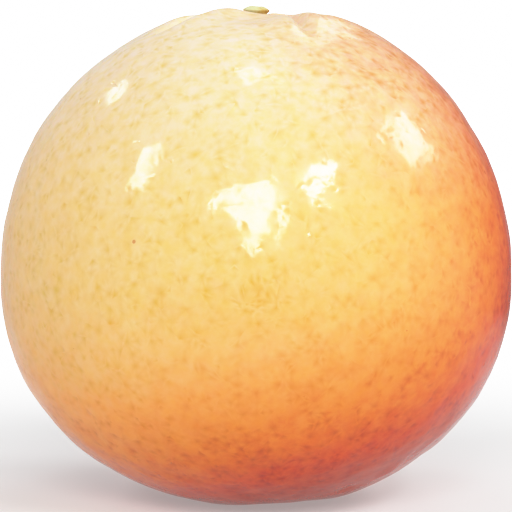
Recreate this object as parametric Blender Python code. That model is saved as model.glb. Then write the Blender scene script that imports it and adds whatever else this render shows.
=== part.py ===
"""A whole grapefruit as picked, standing on the flat spot at its blossom end, with its calyx button on top.

Metres and degrees, +Z up. The origin is the middle of the resting spot, and the front of the fruit faces -Y.
"""

import math

import bmesh
import bpy

# Peel, measured from the fruit's widest level
EQUATOR_RADIUS = 0.0550
CROWN_HEIGHT = 0.0573
BASE_DEPTH = 0.0486
CROWN_FULLNESS = 2.11
BASE_FULLNESS = 2.09
FLAT_DEPTH = 0.0007

# Swellings and, with a negative height, dents: azimuth and elevation of the middle, half-angle, height
SWELLINGS = (
    (0, 66, 16, 0.0012),
    (2, 72, 8, 0.0008),
    (178, 71, 12, 0.0006),
    (212, 83, 7, 0.0005),
    (184, 77, 4, -0.0007),
    (18, 82, 6, -0.0018),
    (-92, 84, 6, -0.0009),
    (100, 20, 40, 0.0004),
    (-60, -78, 8, -0.0013),
    (-28, -66, 10, 0.0005),
)

# Furrows that run out from the button: azimuth at the button and at the far end, reach, depth
FURROWS = (
    (-8, -64, 0.026, 0.0020),
    (40, 24, 0.022, 0.0010),
    (66, 76, 0.026, 0.0013),
    (108, 132, 0.021, 0.0009),
    (160, 208, 0.030, 0.0021),
)
BEND_RADIUS = 0.0125
BEND_SHARING_DEG = 36
FURROW_WIDTH = 0.0013
FURROW_SPREAD = 0.05
FURROW_EDGE = 1.5
FURROW_LEAN = 0.7
FURROW_TAPER = 1.2

# Low lobes along the furrows: place and width in furrow widths, height as a share of the depth
LOBE_PLACE = 2.2
LOBE_WIDTH = 1.3
LOBE_SHARE = 0.42

# Hollow that the calyx button sits in
HOLLOW_RADIUS = 0.0058
HOLLOW_DEPTH = 0.0007

# Blossom end, in the middle of the resting spot
SCAR_RADIUS = 0.0036
SCAR_DEPTH = 0.0005

# Calyx button
BUTTON_RADIUS = 0.0029
BUTTON_HEIGHT = 0.0019
BUTTON_LOBES = 5
BUTTON_LOBE_DEPTH = 0.07
BUTTON_FULLNESS = 0.8
STALK_SCAR_RADIUS = 0.0011
STALK_SCAR_DEPTH = 0.00035
SEAT_GAP = 0.0003

# Mesh density: each furrow ends on one of the peel's 4 degree meridians
PEEL_SEGMENTS = 90
PEEL_RINGS = 48
POLE_CROWDING = 0.55
BUTTON_SEGMENTS = 40
BUTTON_RINGS = 18

WIDEST_LEVEL = BASE_DEPTH - FLAT_DEPTH


def clear_scene():
    for obj in list(bpy.data.objects):
        bpy.data.objects.remove(obj, do_unlink=True)


def direction(azimuth_deg, elevation_deg):
    azimuth = math.radians(azimuth_deg)
    elevation = math.radians(elevation_deg)
    level = math.cos(elevation)
    return level * math.cos(azimuth), level * math.sin(azimuth), math.sin(elevation)


def swelling_height(towards):
    """The sum of the broad swellings, each a smooth mound on the peel."""
    total = 0.0
    for azimuth, elevation, half_angle, height in SWELLINGS:
        middle = direction(azimuth, elevation)
        cosine = sum(a * b for a, b in zip(towards, middle))
        angle = math.degrees(math.acos(max(-1.0, min(1.0, cosine))))
        total += height * math.exp(-((angle / half_angle) ** 2))
    return total


def bent_azimuth(azimuth, away):
    """Where a meridian runs at a distance from the stem: it swings with the furrows near it."""
    pull = 0.0
    swing = 0.0
    for start, end, _, _ in FURROWS:
        turn = math.remainder(azimuth - end, 360)
        weight = math.exp(-((turn / BEND_SHARING_DEG) ** 2))
        pull += weight
        swing += weight * (start - end)
    return azimuth + swing / pull * math.exp(-((away / BEND_RADIUS) ** 2))


def furrow_height(azimuth, away):
    """Relief of the furrows on a meridian at a distance from the stem, with a low lobe on both sides."""
    total = 0.0
    for _, end, reach, depth in FURROWS:
        turn = math.radians(math.remainder(azimuth - end, 360))
        facing = max(0.0, math.cos(turn))
        if not facing or away > reach:
            continue
        across = away * math.sin(abs(turn))
        width = FURROW_WIDTH + FURROW_SPREAD * away
        fade = math.sin(math.pi * (away / reach) ** FURROW_LEAN) ** FURROW_TAPER
        groove = math.exp(-((across / width) ** FURROW_EDGE))
        lobe = math.exp(-(((across / width - LOBE_PLACE) / LOBE_WIDTH) ** 2))
        total += depth * fade * facing * (LOBE_SHARE * lobe - groove)
    return total


def peel_point(azimuth, elevation):
    """The peel on a meridian, at an elevation seen from the middle of the widest level."""
    _, level, rise = direction(90, elevation)
    height = CROWN_HEIGHT if rise >= 0 else BASE_DEPTH
    fullness = CROWN_FULLNESS if rise >= 0 else BASE_FULLNESS
    radius = ((level / EQUATOR_RADIUS) ** fullness + (abs(rise) / height) ** fullness) ** (-1 / fullness)
    if rise > 0:
        away = radius * level
        radius += furrow_height(azimuth, away)
        radius -= HOLLOW_DEPTH * math.exp(-((away / HOLLOW_RADIUS) ** 2))
        azimuth = bent_azimuth(azimuth, away)
    towards = direction(azimuth, elevation)
    radius += swelling_height(towards)
    x, y, z = (radius * c for c in towards)
    return x, y, resting_level(math.hypot(x, y), z + WIDEST_LEVEL)


def resting_level(away, z):
    """Flattens what would lie below the resting surface, and dishes the blossom scar in its middle."""
    scar = SCAR_DEPTH * max(0.0, 1 - (away / SCAR_RADIUS) ** 2)
    return max(z, scar)


def material(name, colour, roughness):
    made = bpy.data.materials.new(name)
    made.use_nodes = True
    shader = made.node_tree.nodes["Principled BSDF"]
    shader.inputs["Base Color"].default_value = (*colour, 1)
    shader.inputs["Roughness"].default_value = roughness
    shader.inputs["Metallic"].default_value = 0
    return made


def new_object(name, shape, collection, finish):
    mesh = bpy.data.meshes.new(name)
    bmesh.ops.recalc_face_normals(shape, faces=shape.faces)
    shape.to_mesh(mesh)
    shape.free()
    mesh.materials.append(finish)
    mesh.shade_smooth()
    made = bpy.data.objects.new(name, mesh)
    collection.objects.link(made)
    return made


def make_fruit(collection):
    """The fruit is a sphere, with its rings crowded towards both ends, drawn out to the peel's surface."""
    shape = bmesh.new()
    bmesh.ops.create_uvsphere(shape, u_segments=PEEL_SEGMENTS, v_segments=PEEL_RINGS, radius=1)
    for vertex in shape.verts:
        down = math.acos(max(-1.0, min(1.0, vertex.co.z)))
        azimuth = math.degrees(math.atan2(vertex.co.y, vertex.co.x))
        down -= POLE_CROWDING * math.sin(2 * down) / 2
        vertex.co = peel_point(azimuth, 90 - math.degrees(down))
    finish = material("waxed_grapefruit_peel", (0.95, 0.60, 0.22), 0.25)
    return new_object("fruit", shape, collection, finish)


def make_calyx_button(collection):
    """The button is a plump disc with a lobe for each sepal and the scar of the stalk in its top."""
    shape = bmesh.new()
    bmesh.ops.create_uvsphere(shape, u_segments=BUTTON_SEGMENTS, v_segments=BUTTON_RINGS, radius=1)
    seat = peel_point(0, 90)[2] + SEAT_GAP
    for vertex in shape.verts:
        azimuth = math.atan2(vertex.co.y, vertex.co.x)
        lobes = 1 - BUTTON_LOBE_DEPTH * (1 - math.cos(BUTTON_LOBES * azimuth)) / 2
        level = BUTTON_RADIUS * lobes * math.hypot(vertex.co.x, vertex.co.y) ** BUTTON_FULLNESS
        rise = BUTTON_HEIGHT * (1 + vertex.co.z) / 2
        if vertex.co.z > 0:
            rise -= STALK_SCAR_DEPTH * math.exp(-((level / STALK_SCAR_RADIUS) ** 2))
        vertex.co = (level * math.cos(azimuth), level * math.sin(azimuth), seat + rise)
    finish = material("drying_calyx", (0.62, 0.56, 0.22), 0.6)
    return new_object("calyx_button", shape, collection, finish)


clear_scene()
grapefruit = bpy.data.collections.new("grapefruit")
bpy.context.scene.collection.children.link(grapefruit)
make_fruit(grapefruit)
make_calyx_button(grapefruit)
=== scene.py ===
"""The looks of a whole waxed grapefruit with its calyx button, on its blossom end on a pale floor."""

import math

import bmesh
import bpy
import numpy as np
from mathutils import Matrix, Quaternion, Vector, noise


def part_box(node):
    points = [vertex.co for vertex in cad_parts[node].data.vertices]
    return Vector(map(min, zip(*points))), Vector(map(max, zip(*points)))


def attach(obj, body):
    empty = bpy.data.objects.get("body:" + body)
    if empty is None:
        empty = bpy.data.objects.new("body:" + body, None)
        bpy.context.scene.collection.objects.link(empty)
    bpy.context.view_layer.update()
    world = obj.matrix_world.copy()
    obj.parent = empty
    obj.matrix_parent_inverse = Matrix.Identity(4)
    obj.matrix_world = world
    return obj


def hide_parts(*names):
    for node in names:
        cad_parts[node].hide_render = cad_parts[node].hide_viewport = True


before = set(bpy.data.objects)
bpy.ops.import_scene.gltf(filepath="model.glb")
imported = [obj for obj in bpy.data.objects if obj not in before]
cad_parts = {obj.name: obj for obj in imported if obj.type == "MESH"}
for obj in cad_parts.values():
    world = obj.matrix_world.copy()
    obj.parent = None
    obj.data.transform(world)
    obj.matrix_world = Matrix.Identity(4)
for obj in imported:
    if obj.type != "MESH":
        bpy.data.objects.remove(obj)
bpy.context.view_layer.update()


# Peel
# The fruit's whole skin, grown as one piece: flavedo full of oil glands, washed and waxed after picking.
# It is gathered in furrows round the stem, and its own weight has flattened it at the blossom end.

# The form, measured from the fruit's widest level, before the flat is cut from its base
EQUATOR_RADIUS = 0.0550
CROWN_HEIGHT = 0.0573
BASE_DEPTH = 0.0486
CROWN_FULLNESS = 2.11
BASE_FULLNESS = 2.09
FLAT_DEPTH = 0.0007
WIDEST_LEVEL = BASE_DEPTH - FLAT_DEPTH

# Swellings and, with a negative height, dents: azimuth and elevation of the middle, half-angle, height
SWELLINGS = (
    (0, 66, 16, 0.0010),
    (-12.5, 75, 7, 0.0014),
    (193, 72.4, 11.5, 0.00055),
    (214, 83, 4.4, 0.00075),
    (180, 79, 3.6, -0.0007),
    (10, 81, 8.7, -0.00185),
    (29, 85.2, 4.2, 0.0008),
    (-95, 80, 9, -0.0011),
    (100, 20, 40, 0.0004),
    (-60, -78, 8, -0.0013),
    (-28, -66, 10, 0.0005),
    (-47, -56, 2.5, -0.0004),
    (-36, -48, 3, 0.0003),
)

# Furrows that run out from the button: azimuth at the button and at the far end, reach, depth
FURROWS = (
    (-14, -63, 0.025, 0.00195),
    (40, 24, 0.022, 0.0010),
    (66, 76, 0.026, 0.0013),
    (108, 132, 0.021, 0.0009),
    (166, 210, 0.026, 0.00217),
)

# Their swing round the button: how far out it dies away, and the half-angle that swings with each furrow
BEND_RADIUS = 0.0125
BEND_SHARING_DEG = 36

# A furrow's half-width at the button and its growth outwards, roundness, lean to the button, and taper
FURROW_WIDTH = 0.0008
FURROW_SPREAD = 0.02
FURROW_EDGE = 1.5
FURROW_LEAN = 0.7
FURROW_TAPER = 1.2

# The low lobes beside a furrow: their place and width in spans, and their height as a share of its depth
LOBE_SPAN = 0.0013
LOBE_SPREAD = 0.05
LOBE_PLACE = 2.0
LOBE_WIDTH = 1.5
LOBE_SHARE = 0.42

# The hollow that the button sits in, which takes this share of the furrows' painted shade, and the blossom
# scar below
HOLLOW_RADIUS = 0.0058
HOLLOW_DEPTH = 0.0007
HOLLOW_SHADE_SHARE = 0.8
SCAR_RADIUS = 0.0036
SCAR_DEPTH = 0.0005

# Real oil glands are about 1.3 mm apart. These are 2 mm apart, so that a pit shows at the photo's size.
# A net joins them, each of its edges is cut in three, and few glands are full of oil.
GLANDS = 11000
GLAND_JITTER = 0.35
GLAND_SEED = 3
STEM_CROWDING = 0.35
STEM_CROWDING_ANGLE = 0.5
NET_CUTS = 2
OIL_SCARCITY = 1.5
PIT_DEPTH = 0.00006
PIT_RIM_SHARE = 0.45

# The skin's ripples: period and height
RIPPLES = ((0.0085, 0.00020), (0.0036, 0.00008))

# How pale the skin is, from red at 0 to cream at 1: it rises towards the side that ripened in the shade.
# Patches are added to that, one of them painted light on a furrow wall: azimuth and elevation of the middle,
# half-angle, how much paler
PALE_SIDE = (-0.339, -0.686, 0.513)
PALE_MEAN = 0.166
PALE_PATCHES = (
    (-10, 53, 38, -0.19),
    (-82, -46, 38, -0.28),
    (-65, 5, 30, 0.15),
    (6, 40, 24, -0.13),
    (-60, 40, 22, -0.12),
    (-62, 62, 18, -0.26),
    # Painted light: paler on the far wall of the furrow that runs to the right front, lifting the shade
    # there
    (-57, 71, 4.5, 0.14),
    (-155, -10, 42, 0.15),
)


def direction(azimuth, elevation):
    azimuth, elevation = np.radians(azimuth), np.radians(elevation)
    level = np.cos(elevation)
    return np.stack([level * np.cos(azimuth), level * np.sin(azimuth), np.sin(elevation)], axis=-1)


def wrapped(turn):
    return (turn + 180) % 360 - 180


def mounds(places, towards):
    """The sum of smooth round mounds: azimuth and elevation of each one's middle, half-angle and height."""
    total = 0
    for azimuth, elevation, half_angle, height in places:
        cosine = towards @ direction(azimuth, elevation)
        angle = np.degrees(np.arccos(np.clip(cosine, -1, 1)))
        total = total + height * np.exp(-((angle / half_angle) ** 2))
    return total


def bent_azimuth(azimuth, away):
    """Where a meridian runs at a distance from the stem: it swings with the furrows near it."""
    pull = 0
    swing = 0
    for start, end, _, _ in FURROWS:
        weight = np.exp(-((wrapped(azimuth - end) / BEND_SHARING_DEG) ** 2))
        pull = pull + weight
        swing = swing + weight * (start - end)
    return azimuth + swing / pull * np.exp(-((away / BEND_RADIUS) ** 2))


def furrow_relief(azimuth, away):
    """The furrows' depth and the height of the lobes beside them, apart, because a furrow gets painted shade
    too.
    """
    grooves = 0
    lobes = 0
    for _, end, reach, depth in FURROWS:
        turn = np.radians(wrapped(azimuth - end))
        facing = np.maximum(0, np.cos(turn))
        aside = away * np.sin(np.abs(turn))
        fade = np.sin(math.pi * np.minimum(1, away / reach) ** FURROW_LEAN) ** FURROW_TAPER
        groove = np.exp(-((aside / (FURROW_WIDTH + FURROW_SPREAD * away)) ** FURROW_EDGE))
        lobe = np.exp(-(((aside / (LOBE_SPAN + LOBE_SPREAD * away) - LOBE_PLACE) / LOBE_WIDTH) ** 2))
        grooves = grooves + depth * fade * facing * groove
        lobes = lobes + depth * fade * facing * LOBE_SHARE * lobe
    return grooves, lobes


def peel_surface(azimuth, elevation, relief):
    """The skin's points, with the relief added along the radius, and their depth in furrows and hollow."""
    level, rise = np.cos(np.radians(elevation)), np.sin(np.radians(elevation))
    crown = rise >= 0
    height = np.where(crown, CROWN_HEIGHT, BASE_DEPTH)
    fullness = np.where(crown, CROWN_FULLNESS, BASE_FULLNESS)
    radius = ((level / EQUATOR_RADIUS) ** fullness + (np.abs(rise) / height) ** fullness) ** (-1 / fullness)
    away = radius * level
    grooves, lobes = furrow_relief(azimuth, away)
    hollow = HOLLOW_DEPTH * np.exp(-((away / HOLLOW_RADIUS) ** 2))
    radius = radius + np.where(crown, lobes - grooves - hollow, 0)
    towards = direction(np.where(crown, bent_azimuth(azimuth, away), azimuth), elevation)
    points = towards * (radius + mounds(SWELLINGS, towards) + relief)[:, None]
    points[:, 2] += WIDEST_LEVEL
    away = np.hypot(points[:, 0], points[:, 1])
    points[:, 2] = np.maximum(points[:, 2], SCAR_DEPTH * np.maximum(0, 1 - (away / SCAR_RADIUS) ** 2))
    return points, np.where(crown, grooves + HOLLOW_SHADE_SHARE * hollow, 0)


def gland_places(random):
    """Unit vectors to the glands: a sunflower spiral over the sphere, jittered, closer round the stem."""
    turn = np.arange(GLANDS) + 0.5
    down = np.arccos(1 - 2 * turn / GLANDS)
    down *= 1 - STEM_CROWDING * np.exp(-((down / STEM_CROWDING_ANGLE) ** 2))
    azimuth = np.degrees(math.pi * (1 + math.sqrt(5)) * turn)
    places = direction(azimuth, 90 - np.degrees(down))
    places += random.normal(0, GLAND_JITTER * math.sqrt(4 * math.pi / GLANDS), places.shape)
    return places / np.linalg.norm(places, axis=1)[:, None]


def skin_mesh(name):
    """A net drawn from gland to gland by a convex hull, cut finer, then drawn out to the skin's surface."""
    random = np.random.default_rng(GLAND_SEED)
    shape = bmesh.new()
    for place in gland_places(random):
        shape.verts.new(place)
    bmesh.ops.convex_hull(shape, input=shape.verts)
    inside = [vertex for vertex in shape.verts if not vertex.link_faces]
    bmesh.ops.delete(shape, geom=inside, context="VERTS")
    glands = len(shape.verts)
    bmesh.ops.subdivide_edges(shape, edges=shape.edges[:], cuts=NET_CUTS, use_grid_fill=True)
    mesh = bpy.data.meshes.new(name)
    shape.to_mesh(mesh)
    shape.free()

    towards = np.array([vertex.co.normalized() for vertex in mesh.vertices])
    oil = np.zeros(len(towards))
    oil[:glands] = random.uniform(0, 1, glands) ** OIL_SCARCITY
    ends = np.empty(2 * len(mesh.edges), dtype=np.int32)
    mesh.edges.foreach_get("vertices", ends)
    ends = ends.reshape(-1, 2)
    for gland, rim in (ends.T, ends[:, ::-1].T):
        beside = (gland < glands) & (rim >= glands)
        oil[rim[beside]] = PIT_RIM_SHARE * oil[gland[beside]]
    relief = -PIT_DEPTH * oil
    for period, height in RIPPLES:
        waves = EQUATOR_RADIUS / period * towards
        relief += height * np.array([noise.noise(Vector(wave)) for wave in waves])
    azimuth = np.degrees(np.arctan2(towards[:, 1], towards[:, 0]))
    elevation = np.degrees(np.arcsin(np.clip(towards[:, 2], -1, 1)))
    points, depth = peel_surface(azimuth, elevation, relief)
    mesh.vertices.foreach_set("co", points.ravel())
    mesh.shade_smooth()
    paleness = towards @ PALE_SIDE + PALE_MEAN + mounds(PALE_PATCHES, towards)
    for painted, values in (("paleness", paleness), ("oil_gland", oil), ("furrow_depth", depth)):
        mesh.attributes.new(painted, "FLOAT", "POINT").data.foreach_set("value", values)
    return mesh


def linear(colour):
    """A six-digit sRGB hex colour as linear red, green, blue and alpha."""
    shares = [int(colour[i:i + 2], 16) / 255 for i in (0, 2, 4)]
    return [s / 12.92 if s <= 0.04045 else ((s + 0.055) / 1.055) ** 2.4 for s in shares] + [1]


def add_node(tree, kind, settings, links=()):
    """Adds a node. A setting is one of its properties, or else a socket's value. A link feeds a socket."""
    made = tree.nodes.new(kind)
    for name, value in settings.items():
        if str(name) in made.bl_rna.properties:
            setattr(made, name, value)
        else:
            made.inputs[name].default_value = value
    for socket, source in dict(links).items():
        tree.links.new(source, made.inputs[socket])
    return made


# Waxed citrus flavedo: oily, faintly translucent tissue under a thin film of shellac and carnauba wax.
# The eye gets a soft yellow to red body with darker gland dots, redder patches where it is ripe, a few brown
# specks, and crisp window-like glints broken by the pits. Painted on it: shade in the pits of ripe skin and
# in the furrows, and a cream sheen over the crown.

# The body's colour, from the ripest skin to the palest, and the mottle that shifts it
BLUSH = (
    (-0.20, "B23B16"),
    (0.00, "CF4C12"),
    (0.20, "DE731E"),
    (0.40, "EA8F36"),
    (0.60, "F5A250"),
    (0.80, "F1B66F"),
    (1.00, "F2C98D"),
    (1.20, "F4D2A2"),
)
MOTTLE_MM = 4.5
MOTTLE_AMOUNT = 0.22

# Painted sheen: cream over the crown where the overhead light pales it, between two heights in equator
# radii, and less of it where the skin has blushed
CROWN_SHEEN = "EFD8C7"
CROWN_SHEEN_SHARE = 0.95
CROWN_RISE = (0.25, 1.0)
BLUSHED_SHARE = 0.25
UNBLUSHED_FROM = 0.9

# Tints that the body's colour is multiplied by: patches of oil, glands, painted shade in the pits of ripe
# skin, and ripe skin's patches
OIL_PATCH = "FDF7D0"
OIL_PATCH_MM = 2.4
OIL_PATCH_NOISE = (0.3, 0.7)
GLAND_DOT = "EEE8A6"
RIPE_PIT_SHADE = "E4C094"
RIPE_BLUSH = (0.9, 0.1)
RIPE_PATCH = "EEC8B4"
RIPE_PATCH_MM = 3.6
RIPE_PATCH_NOISE = (0.38, 0.66)

# The furrows' painted shade, a peach tint between two depths; in the hollow round the button it is partly
# the peel's own pinkish ring too
FURROW_SHADE = "E8B070"
FURROW_SHADE_SHARE = 0.4
FURROW_SHADE_DEPTHS = (0.0006, 0.0019)

# Small corky specks: a quarter of the cells this far apart have one, of up to this half-width
SPECK_BROWN = "D09870"
SPECK_SPACING_MM = 6.0
SPECK_MM = 0.45
SPECK_CHANCE = 0.25
SPECK_SHARE = 0.7

# The skin's fine pores and its wax
PORE_MM = 0.6
PORE_DEPTH = 0.00005
WAX_IOR = 1.6
WAX_COVER = 0.8
WAX_ROUGHNESS = 0.12


def waxed_flavedo():
    made = bpy.data.materials.new("waxed_citrus_flavedo")
    made.use_nodes = True
    tree = made.node_tree
    tree.nodes.clear()
    place = add_node(tree, "ShaderNodeTexCoord", {})
    paleness = add_node(tree, "ShaderNodeAttribute", {"attribute_name": "paleness"})
    mottle = add_node(tree, "ShaderNodeTexNoise", {"Scale": 1000 / MOTTLE_MM, "Detail": 4.0,
                      "Roughness": 0.65}, {"Vector": place.outputs["Object"]})
    blush = add_node(tree, "ShaderNodeMath", {"operation": "MULTIPLY_ADD", 1: MOTTLE_AMOUNT},
                     {0: mottle.outputs["Fac"], 2: paleness.outputs["Fac"]})
    low = BLUSH[0][0]
    high = BLUSH[-1][0]
    spread = add_node(tree, "ShaderNodeMapRange", {"From Min": low + MOTTLE_AMOUNT / 2,
                      "From Max": high + MOTTLE_AMOUNT / 2}, {"Value": blush.outputs[0]})
    ramp = add_node(tree, "ShaderNodeValToRGB", {}, {"Fac": spread.outputs[0]})
    stops = ramp.color_ramp.elements
    while len(stops) < len(BLUSH):
        stops.new(1)
    for stop, (level, colour) in zip(stops, BLUSH):
        stop.position = (level - low) / (high - low)
        stop.color = linear(colour)

    # Painted sheen: cream over the crown, paler with height, less of it where the skin has blushed
    centred = add_node(tree, "ShaderNodeVectorMath", {"operation": "MULTIPLY_ADD",
                       1: [1 / EQUATOR_RADIUS] * 3, 2: (0, 0, -WIDEST_LEVEL / EQUATOR_RADIUS)},
                       {0: place.outputs["Object"]})
    height = add_node(tree, "ShaderNodeSeparateXYZ", {}, {0: centred.outputs[0]})
    crown = add_node(tree, "ShaderNodeMapRange", {"interpolation_type": "SMOOTHSTEP",
                     "From Min": CROWN_RISE[0], "From Max": CROWN_RISE[1], "To Max": CROWN_SHEEN_SHARE},
                     {"Value": height.outputs["Z"]})
    unblushed = add_node(tree, "ShaderNodeMapRange", {"interpolation_type": "SMOOTHSTEP",
                         "From Max": UNBLUSHED_FROM, "To Min": BLUSHED_SHARE}, {"Value": blush.outputs[0]})
    painted_sheen = add_node(tree, "ShaderNodeMath", {"operation": "MULTIPLY"},
                      {0: crown.outputs[0], 1: unblushed.outputs[0]})
    sheened = add_node(tree, "ShaderNodeMix", {"data_type": "RGBA", 7: linear(CROWN_SHEEN)},
                       {0: painted_sheen.outputs[0], 6: ramp.outputs["Color"]})

    oiliness = add_node(tree, "ShaderNodeTexNoise", {"Scale": 1000 / OIL_PATCH_MM, "Detail": 3.0},
                        {"Vector": place.outputs["Object"]})
    oily = add_node(tree, "ShaderNodeMapRange", {"From Min": OIL_PATCH_NOISE[0],
                    "From Max": OIL_PATCH_NOISE[1]}, {"Value": oiliness.outputs["Fac"]})
    patched = add_node(tree, "ShaderNodeMix", {"data_type": "RGBA", "blend_type": "MULTIPLY",
                       7: linear(OIL_PATCH)}, {0: oily.outputs[0], 6: sheened.outputs[2]})
    gland = add_node(tree, "ShaderNodeAttribute", {"attribute_name": "oil_gland"})
    dotted = add_node(tree, "ShaderNodeMix", {"data_type": "RGBA", "blend_type": "MULTIPLY",
                      7: linear(GLAND_DOT)}, {0: gland.outputs["Fac"], 6: patched.outputs[2]})
    ripe = add_node(tree, "ShaderNodeMapRange", {"From Min": RIPE_BLUSH[0], "From Max": RIPE_BLUSH[1]},
                    {"Value": blush.outputs[0]})
    # Painted shade in the pits: darker dots at the glands where the skin is ripe
    ripe_pit = add_node(tree, "ShaderNodeMath", {"operation": "MULTIPLY"},
                          {0: gland.outputs["Fac"], 1: ripe.outputs[0]})
    pit_shaded = add_node(tree, "ShaderNodeMix", {"data_type": "RGBA", "blend_type": "MULTIPLY",
                        7: linear(RIPE_PIT_SHADE)}, {0: ripe_pit.outputs[0], 6: dotted.outputs[2]})
    ripeness = add_node(tree, "ShaderNodeTexNoise", {"Scale": 1000 / RIPE_PATCH_MM, "Detail": 4.0,
                        "Roughness": 0.7}, {"Vector": place.outputs["Object"]})
    riper = add_node(tree, "ShaderNodeMapRange", {"From Min": RIPE_PATCH_NOISE[0],
                     "From Max": RIPE_PATCH_NOISE[1]},
                     {"Value": ripeness.outputs["Fac"], "To Max": ripe.outputs[0]})
    reddened = add_node(tree, "ShaderNodeMix", {"data_type": "RGBA", "blend_type": "MULTIPLY",
                        7: linear(RIPE_PATCH)}, {0: riper.outputs[0], 6: pit_shaded.outputs[2]})

    # Painted shade: a peach tint by the depth of the furrows and of the hollow round the button
    depth = add_node(tree, "ShaderNodeAttribute", {"attribute_name": "furrow_depth"})
    shaded = add_node(tree, "ShaderNodeMapRange", {"From Min": FURROW_SHADE_DEPTHS[0],
                      "From Max": FURROW_SHADE_DEPTHS[1], "To Max": FURROW_SHADE_SHARE},
                      {"Value": depth.outputs["Fac"]})
    furrow_shaded = add_node(tree, "ShaderNodeMix", {"data_type": "RGBA", 7: linear(FURROW_SHADE)},
                        {0: shaded.outputs[0], 6: reddened.outputs[2]})

    spots = add_node(tree, "ShaderNodeTexVoronoi", {"Scale": 1000 / SPECK_SPACING_MM},
                     {"Vector": place.outputs["Object"]})
    chance = add_node(tree, "ShaderNodeSeparateColor", {}, {0: spots.outputs["Color"]})
    size = add_node(tree, "ShaderNodeMapRange", {"From Min": 1 - SPECK_CHANCE,
                    "To Max": SPECK_MM / SPECK_SPACING_MM}, {"Value": chance.outputs[0]})
    speck = add_node(tree, "ShaderNodeMath", {"operation": "LESS_THAN"},
                     {0: spots.outputs["Distance"], 1: size.outputs[0]})
    faint = add_node(tree, "ShaderNodeMath", {"operation": "MULTIPLY", 1: SPECK_SHARE},
                     {0: speck.outputs[0]})
    specked = add_node(tree, "ShaderNodeMix", {"data_type": "RGBA", "blend_type": "MULTIPLY",
                       7: linear(SPECK_BROWN)}, {0: faint.outputs[0], 6: furrow_shaded.outputs[2]})

    pores = add_node(tree, "ShaderNodeTexNoise", {"Scale": 1000 / PORE_MM, "Detail": 2.0},
                     {"Vector": place.outputs["Object"]})
    grain = add_node(tree, "ShaderNodeBump", {"Strength": 0.25, "Distance": PORE_DEPTH},
                     {"Height": pores.outputs["Fac"]})
    body = add_node(tree, "ShaderNodeBsdfPrincipled", {"Roughness": 0.5, "IOR": WAX_IOR,
                    "Specular IOR Level": 0.0, "Subsurface Weight": 0.15,
                    "Subsurface Radius": (1.0, 0.35, 0.12), "Subsurface Scale": 0.0015,
                    "Coat Weight": WAX_COVER, "Coat Roughness": WAX_ROUGHNESS, "Coat IOR": WAX_IOR},
                    {"Base Color": specked.outputs[2], "Normal": grain.outputs[0]})
    add_node(tree, "ShaderNodeOutputMaterial", {}, {"Surface": body.outputs[0]})
    return made


def add_piece(name, mesh, finish):
    mesh.materials.append(finish)
    made = bpy.data.objects.new(name, mesh)
    bpy.context.scene.collection.objects.link(made)
    return made


peel = add_piece("peel", skin_mesh("peel"), waxed_flavedo())
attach(peel, "root")
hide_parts("fruit")


# Calyx button
# The disc that stays on when a grapefruit is clipped: five sepals dried together round the stalk's scar.
# It is grown onto the peel, in the hollow at the stem end.

# Its radius, widest level above the solid's foot, crown above that, root below, and lean to the right
BUTTON_RADIUS = 0.0030
BUTTON_WIDEST = 0.0010
BUTTON_CROWN = 0.00105
BUTTON_ROOT = 0.0015
BUTTON_LEAN = 0.055
BUTTON_LOBES = 5
BUTTON_LOBE_DEPTH = 0.06

# Its section: 1 and 1 would be an ellipse, and a higher edge thins the rim to a lens's
BUTTON_FULLNESS = 0.95
BUTTON_EDGE = 1.7

STALK_SCAR_RADIUS = 0.0011
STALK_SCAR_DEPTH = 0.00022
BUTTON_SEGMENTS = 160
BUTTON_RINGS = 72

# The dried sepals' wrinkles: period and height
SEPAL_WRINKLES = ((0.0016, 0.00010), (0.0005, 0.00003))


def button_mesh(name):
    """A lobed lens with the stalk's scar in its top, wrinkled along the sphere that it is drawn from."""
    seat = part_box("calyx_button")[0][2]
    shape = bmesh.new()
    bmesh.ops.create_uvsphere(shape, u_segments=BUTTON_SEGMENTS, v_segments=BUTTON_RINGS, radius=1)
    for vertex in shape.verts:
        azimuth = math.atan2(vertex.co.y, vertex.co.x)
        lobes = 1 - BUTTON_LOBE_DEPTH * (1 - math.cos(BUTTON_LOBES * azimuth)) / 2
        level = BUTTON_RADIUS * lobes * math.hypot(vertex.co.x, vertex.co.y) ** BUTTON_FULLNESS
        height = BUTTON_CROWN if vertex.co.z > 0 else -BUTTON_ROOT
        rise = BUTTON_WIDEST + height * abs(vertex.co.z) ** BUTTON_EDGE
        if vertex.co.z > 0:
            rise -= STALK_SCAR_DEPTH * math.exp(-((level / STALK_SCAR_RADIUS) ** 2))
        out = Vector(vertex.co)
        vertex.co = (level * math.cos(azimuth), level * math.sin(azimuth), seat + rise)
        vertex.co.z -= BUTTON_LEAN * vertex.co.x
        for period, height in SEPAL_WRINKLES:
            vertex.co += out * height * noise.noise(vertex.co / period)
    mesh = bpy.data.meshes.new(name)
    shape.to_mesh(mesh)
    shape.free()
    mesh.shade_smooth()
    return mesh


# Dried calyx tissue: green sepals fading to straw, and corky brown at the tip of the side that dried first.
# The eye gets a matt, slightly fibrous pale green that turns olive and then brown towards one side.
# A colour's reach is where it starts and where it is full, in button radii to the right, blotches added.
SEPAL_GREEN = "CCCC9A"
SEPAL_STRAW = "B99F4E"
SEPAL_BROWN = "8A5A2C"
BLOTCH_MM = 1.6
BLOTCH_SHIFT = 2
STRAW_REACH = (0.9, 1.8)
BROWN_REACH = (1.6, 2.1)
BROWN_SHARE = 0.8
FIBRE_MM = 0.5
FIBRE_DEPTH = 0.0001


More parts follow.
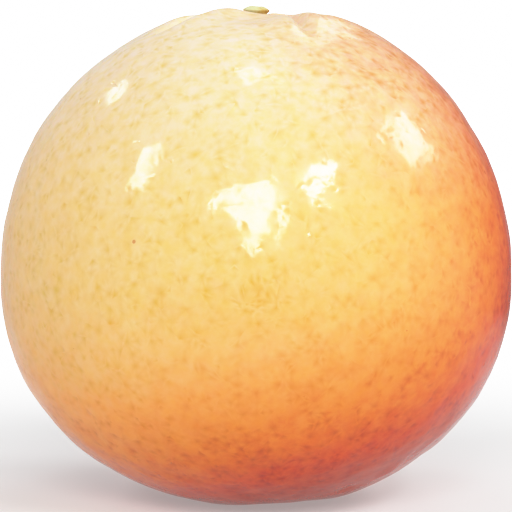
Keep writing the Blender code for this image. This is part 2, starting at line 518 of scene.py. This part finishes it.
def dried_calyx():
    made = bpy.data.materials.new("dried_calyx_tissue")
    made.use_nodes = True
    tree = made.node_tree
    tree.nodes.clear()
    place = add_node(tree, "ShaderNodeTexCoord", {})
    blotch = add_node(tree, "ShaderNodeTexNoise", {"Scale": 1000 / BLOTCH_MM, "Detail": 3.0},
                      {"Vector": place.outputs["Object"]})
    side = add_node(tree, "ShaderNodeSeparateXYZ", {}, {0: place.outputs["Object"]})
    patchy = add_node(tree, "ShaderNodeMath", {"operation": "MULTIPLY_ADD",
                      1: BLOTCH_SHIFT * BUTTON_RADIUS}, {0: blotch.outputs["Fac"], 2: side.outputs["X"]})
    turning = add_node(tree, "ShaderNodeMapRange", {"interpolation_type": "SMOOTHSTEP",
                       "From Min": BUTTON_RADIUS * STRAW_REACH[0],
                       "From Max": BUTTON_RADIUS * STRAW_REACH[1]}, {"Value": patchy.outputs[0]})
    fading = add_node(tree, "ShaderNodeMix", {"data_type": "RGBA", 6: linear(SEPAL_GREEN),
                      7: linear(SEPAL_STRAW)}, {0: turning.outputs[0]})
    tip = add_node(tree, "ShaderNodeMapRange", {"interpolation_type": "SMOOTHSTEP",
                   "From Min": BUTTON_RADIUS * BROWN_REACH[0], "From Max": BUTTON_RADIUS * BROWN_REACH[1],
                   "To Max": BROWN_SHARE}, {"Value": patchy.outputs[0]})
    browned = add_node(tree, "ShaderNodeMix", {"data_type": "RGBA", 7: linear(SEPAL_BROWN)},
                       {0: tip.outputs[0], 6: fading.outputs[2]})
    fibre = add_node(tree, "ShaderNodeTexNoise", {"Scale": 1000 / FIBRE_MM, "Detail": 4.0},
                     {"Vector": place.outputs["Object"]})
    grain = add_node(tree, "ShaderNodeBump", {"Strength": 0.5, "Distance": FIBRE_DEPTH},
                     {"Height": fibre.outputs["Fac"]})
    body = add_node(tree, "ShaderNodeBsdfPrincipled", {"Roughness": 0.6, "IOR": 1.45},
                    {"Base Color": browned.outputs[2], "Normal": grain.outputs[0]})
    add_node(tree, "ShaderNodeOutputMaterial", {}, {"Surface": body.outputs[0]})
    return made


button = add_piece("calyx", button_mesh("calyx"), dried_calyx())
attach(button, "root")
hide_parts("calyx_button")


# Floor
# A product photographer's light table: a round sheet of opal acrylic, lit softly from below so that shadows
# stay pale. It isn't part of the fruit.

TABLE_RADIUS = 0.32
TABLE_SEGMENTS = 128
OPAL_GREY = "C4C4C4"
TABLE_GLOW = 0.30
OPAQUE_RADIUS = 0.10


def opal_acrylic():
    """Matt milky white. It fades out towards its rim, so that no edge shows in front of the white behind."""
    made = bpy.data.materials.new("opal_acrylic")
    made.use_nodes = True
    tree = made.node_tree
    tree.nodes.clear()
    place = add_node(tree, "ShaderNodeTexCoord", {})
    away = add_node(tree, "ShaderNodeVectorMath", {"operation": "LENGTH"}, {0: place.outputs["Object"]})
    opacity = add_node(tree, "ShaderNodeMapRange", {"interpolation_type": "SMOOTHSTEP",
                       "From Min": OPAQUE_RADIUS, "From Max": TABLE_RADIUS, "To Min": 1, "To Max": 0},
                       {"Value": away.outputs["Value"]})
    sheet = add_node(tree, "ShaderNodeBsdfPrincipled", {"Base Color": linear(OPAL_GREY), "Roughness": 0.9,
                     "Specular IOR Level": 0.1, "Emission Color": (1, 1, 1, 1),
                     "Emission Strength": TABLE_GLOW}, {"Alpha": opacity.outputs[0]})
    add_node(tree, "ShaderNodeOutputMaterial", {}, {"Surface": sheet.outputs[0]})
    return made


shape = bmesh.new()
bmesh.ops.create_circle(shape, cap_ends=True, segments=TABLE_SEGMENTS, radius=TABLE_RADIUS)
table = bpy.data.meshes.new("floor")
shape.to_mesh(table)
shape.free()
floor = add_piece("floor", table, opal_acrylic())


# Studio light
# Softboxes with white cloth fronts, on stands and booms, each where its glint shows on the wax.
# The walls and the ceiling of the room fill in the rest.

# Each softbox's name, azimuth, elevation and roll in degrees, its two sides in metres, and its radiance
SOFTBOX_DISTANCE = 1.2
SOFTBOXES = (
    ("front", -91, 26, 23, (0.44, 0.44), 13.5),
    ("window", -57, 36.6, -40, (0.17, 0.28), 20),
    ("left", -152.7, 38.5, 13, (0.20, 0.34), 10.5),
    ("back_left", 144.6, 43.0, 6, (0.17, 0.11), 6.5),
    ("right", 9.0, 37.2, -8, (0.42, 0.36), 7.6),
    ("overhead", 88, 84.6, 42, (0.23, 0.22), 4.6),
    ("behind", 75, 42, 0, (0.15, 0.40), 1.5),
)
FRUIT_CENTRE = Vector((0, 0, 0.0527))

for name, azimuth, elevation, roll, sides, radiance in SOFTBOXES:
    lamp = bpy.data.lights.new(name, "AREA")
    lamp.shape = "RECTANGLE"
    lamp.size, lamp.size_y = sides
    lamp.energy = radiance * math.pi * sides[0] * sides[1]
    softbox = bpy.data.objects.new(name, lamp)
    bpy.context.scene.collection.objects.link(softbox)
    towards = Vector(direction(azimuth, elevation))
    softbox.location = FRUIT_CENTRE + SOFTBOX_DISTANCE * towards
    upright = towards.to_track_quat("Z", "Y")
    softbox.rotation_euler = (Quaternion(towards, math.radians(roll)) @ upright).to_euler()

# The room: the camera sees plain white behind the fruit. What lights the fruit is dim walls under a paler
# ceiling, brightest on the right, with a dark flag at the right rear and a white screen at the left rear.
# Each has a direction, the cosine where its edge lies, and the share it passes or the light it adds.
BACKDROP_LIGHT = 2.2
WALL_LIGHT = 0.18
CEILING_LIGHT = 0.48
SIDE_LIGHT = 0.67
SIDE_LEAN = 0.8
FLAG_SIDE = (0.5, 0.866, 0)
FLAG_EDGE = 0.6
FLAG_SHARE = 0.5
SCREEN_SIDE = (-0.55, 0.825, -0.13)
SCREEN_EDGE = 0.5
SCREEN_LIGHT = 0.7

studio = bpy.data.worlds.new("studio")
studio.use_nodes = True
bpy.context.scene.world = studio
tree = studio.node_tree
tree.nodes.clear()
seen = add_node(tree, "ShaderNodeBackground", {"Color": (1, 1, 1, 1), "Strength": BACKDROP_LIGHT})
aim = add_node(tree, "ShaderNodeTexCoord", {})
rise = add_node(tree, "ShaderNodeSeparateXYZ", {}, {0: aim.outputs["Generated"]})
glow = add_node(tree, "ShaderNodeMapRange", {"To Min": WALL_LIGHT, "To Max": CEILING_LIGHT},
                {"Value": rise.outputs["Z"]})
leaning = add_node(tree, "ShaderNodeMath", {"operation": "ADD", 1: SIDE_LEAN}, {0: rise.outputs["X"]})
aside = add_node(tree, "ShaderNodeMath", {"operation": "MULTIPLY"},
                 {0: rise.outputs["X"], 1: leaning.outputs[0]})
walled = add_node(tree, "ShaderNodeMath", {"operation": "MULTIPLY_ADD", 1: SIDE_LIGHT},
                  {0: aside.outputs[0], 2: glow.outputs[0]})
to_flag = add_node(tree, "ShaderNodeVectorMath", {"operation": "DOT_PRODUCT", 1: FLAG_SIDE},
                   {0: aim.outputs["Generated"]})
flagged = add_node(tree, "ShaderNodeMapRange", {"interpolation_type": "SMOOTHSTEP",
                   "From Min": FLAG_EDGE, "To Min": 1, "To Max": FLAG_SHARE},
                   {"Value": to_flag.outputs["Value"]})
darkened = add_node(tree, "ShaderNodeMath", {"operation": "MULTIPLY"},
                    {0: walled.outputs[0], 1: flagged.outputs[0]})
to_screen = add_node(tree, "ShaderNodeVectorMath", {"operation": "DOT_PRODUCT", 1: SCREEN_SIDE},
                     {0: aim.outputs["Generated"]})
screen = add_node(tree, "ShaderNodeMapRange", {"interpolation_type": "SMOOTHSTEP",
                  "From Min": SCREEN_EDGE, "To Max": SCREEN_LIGHT}, {"Value": to_screen.outputs["Value"]})
strength = add_node(tree, "ShaderNodeMath", {"operation": "ADD"},
                    {0: darkened.outputs[0], 1: screen.outputs[0]})
lit = add_node(tree, "ShaderNodeBackground", {"Color": (1, 1, 1, 1)}, {"Strength": strength.outputs[0]})
path = add_node(tree, "ShaderNodeLightPath", {})
walls = add_node(tree, "ShaderNodeMixShader", {},
                 {0: path.outputs["Is Camera Ray"], 1: lit.outputs[0], 2: seen.outputs[0]})
add_node(tree, "ShaderNodeOutputWorld", {}, {"Surface": walls.outputs[0]})

# The camera's response: the brightest tones roll off softly, so that a glint's edge stays soft.
# Each tone is a scene brightness and how brightly it is shown.
BRIGHTEST = 3.0
TONES = (
    (0.25, 0.25),
    (0.50, 0.50),
    (0.75, 0.75),
    (0.90, 0.863),
    (1.05, 0.925),
    (1.25, 0.966),
    (1.60, 0.992),
    (2.20, 0.999),
)

view = bpy.context.scene.view_settings
view.view_transform = "Standard"
view.use_curve_mapping = True
view.curve_mapping.white_level = [BRIGHTEST] * 3
response = view.curve_mapping.curves[3]
response.points[1].location = (1, 1)
for level, shown in TONES:
    response.points.new(level / BRIGHTEST, shown)
view.curve_mapping.update()


# Camera
# It looks at the fruit's front from 0.6 m and slightly above, and the fruit fills its 512 pixel square.

CAMERA_DISTANCE = 0.60
CAMERA_ELEVATION = 5
FOCAL_MM = 195.54

camera = bpy.data.objects.new("camera", bpy.data.cameras.new("camera"))
bpy.context.scene.collection.objects.link(camera)
camera.data.lens = FOCAL_MM
camera.data.sensor_width = 36
view_from = Vector(direction(-90, CAMERA_ELEVATION))
camera.location = FRUIT_CENTRE + CAMERA_DISTANCE * view_from
camera.rotation_euler = view_from.to_track_quat("Z", "Y").to_euler()
bpy.context.scene.camera = camera
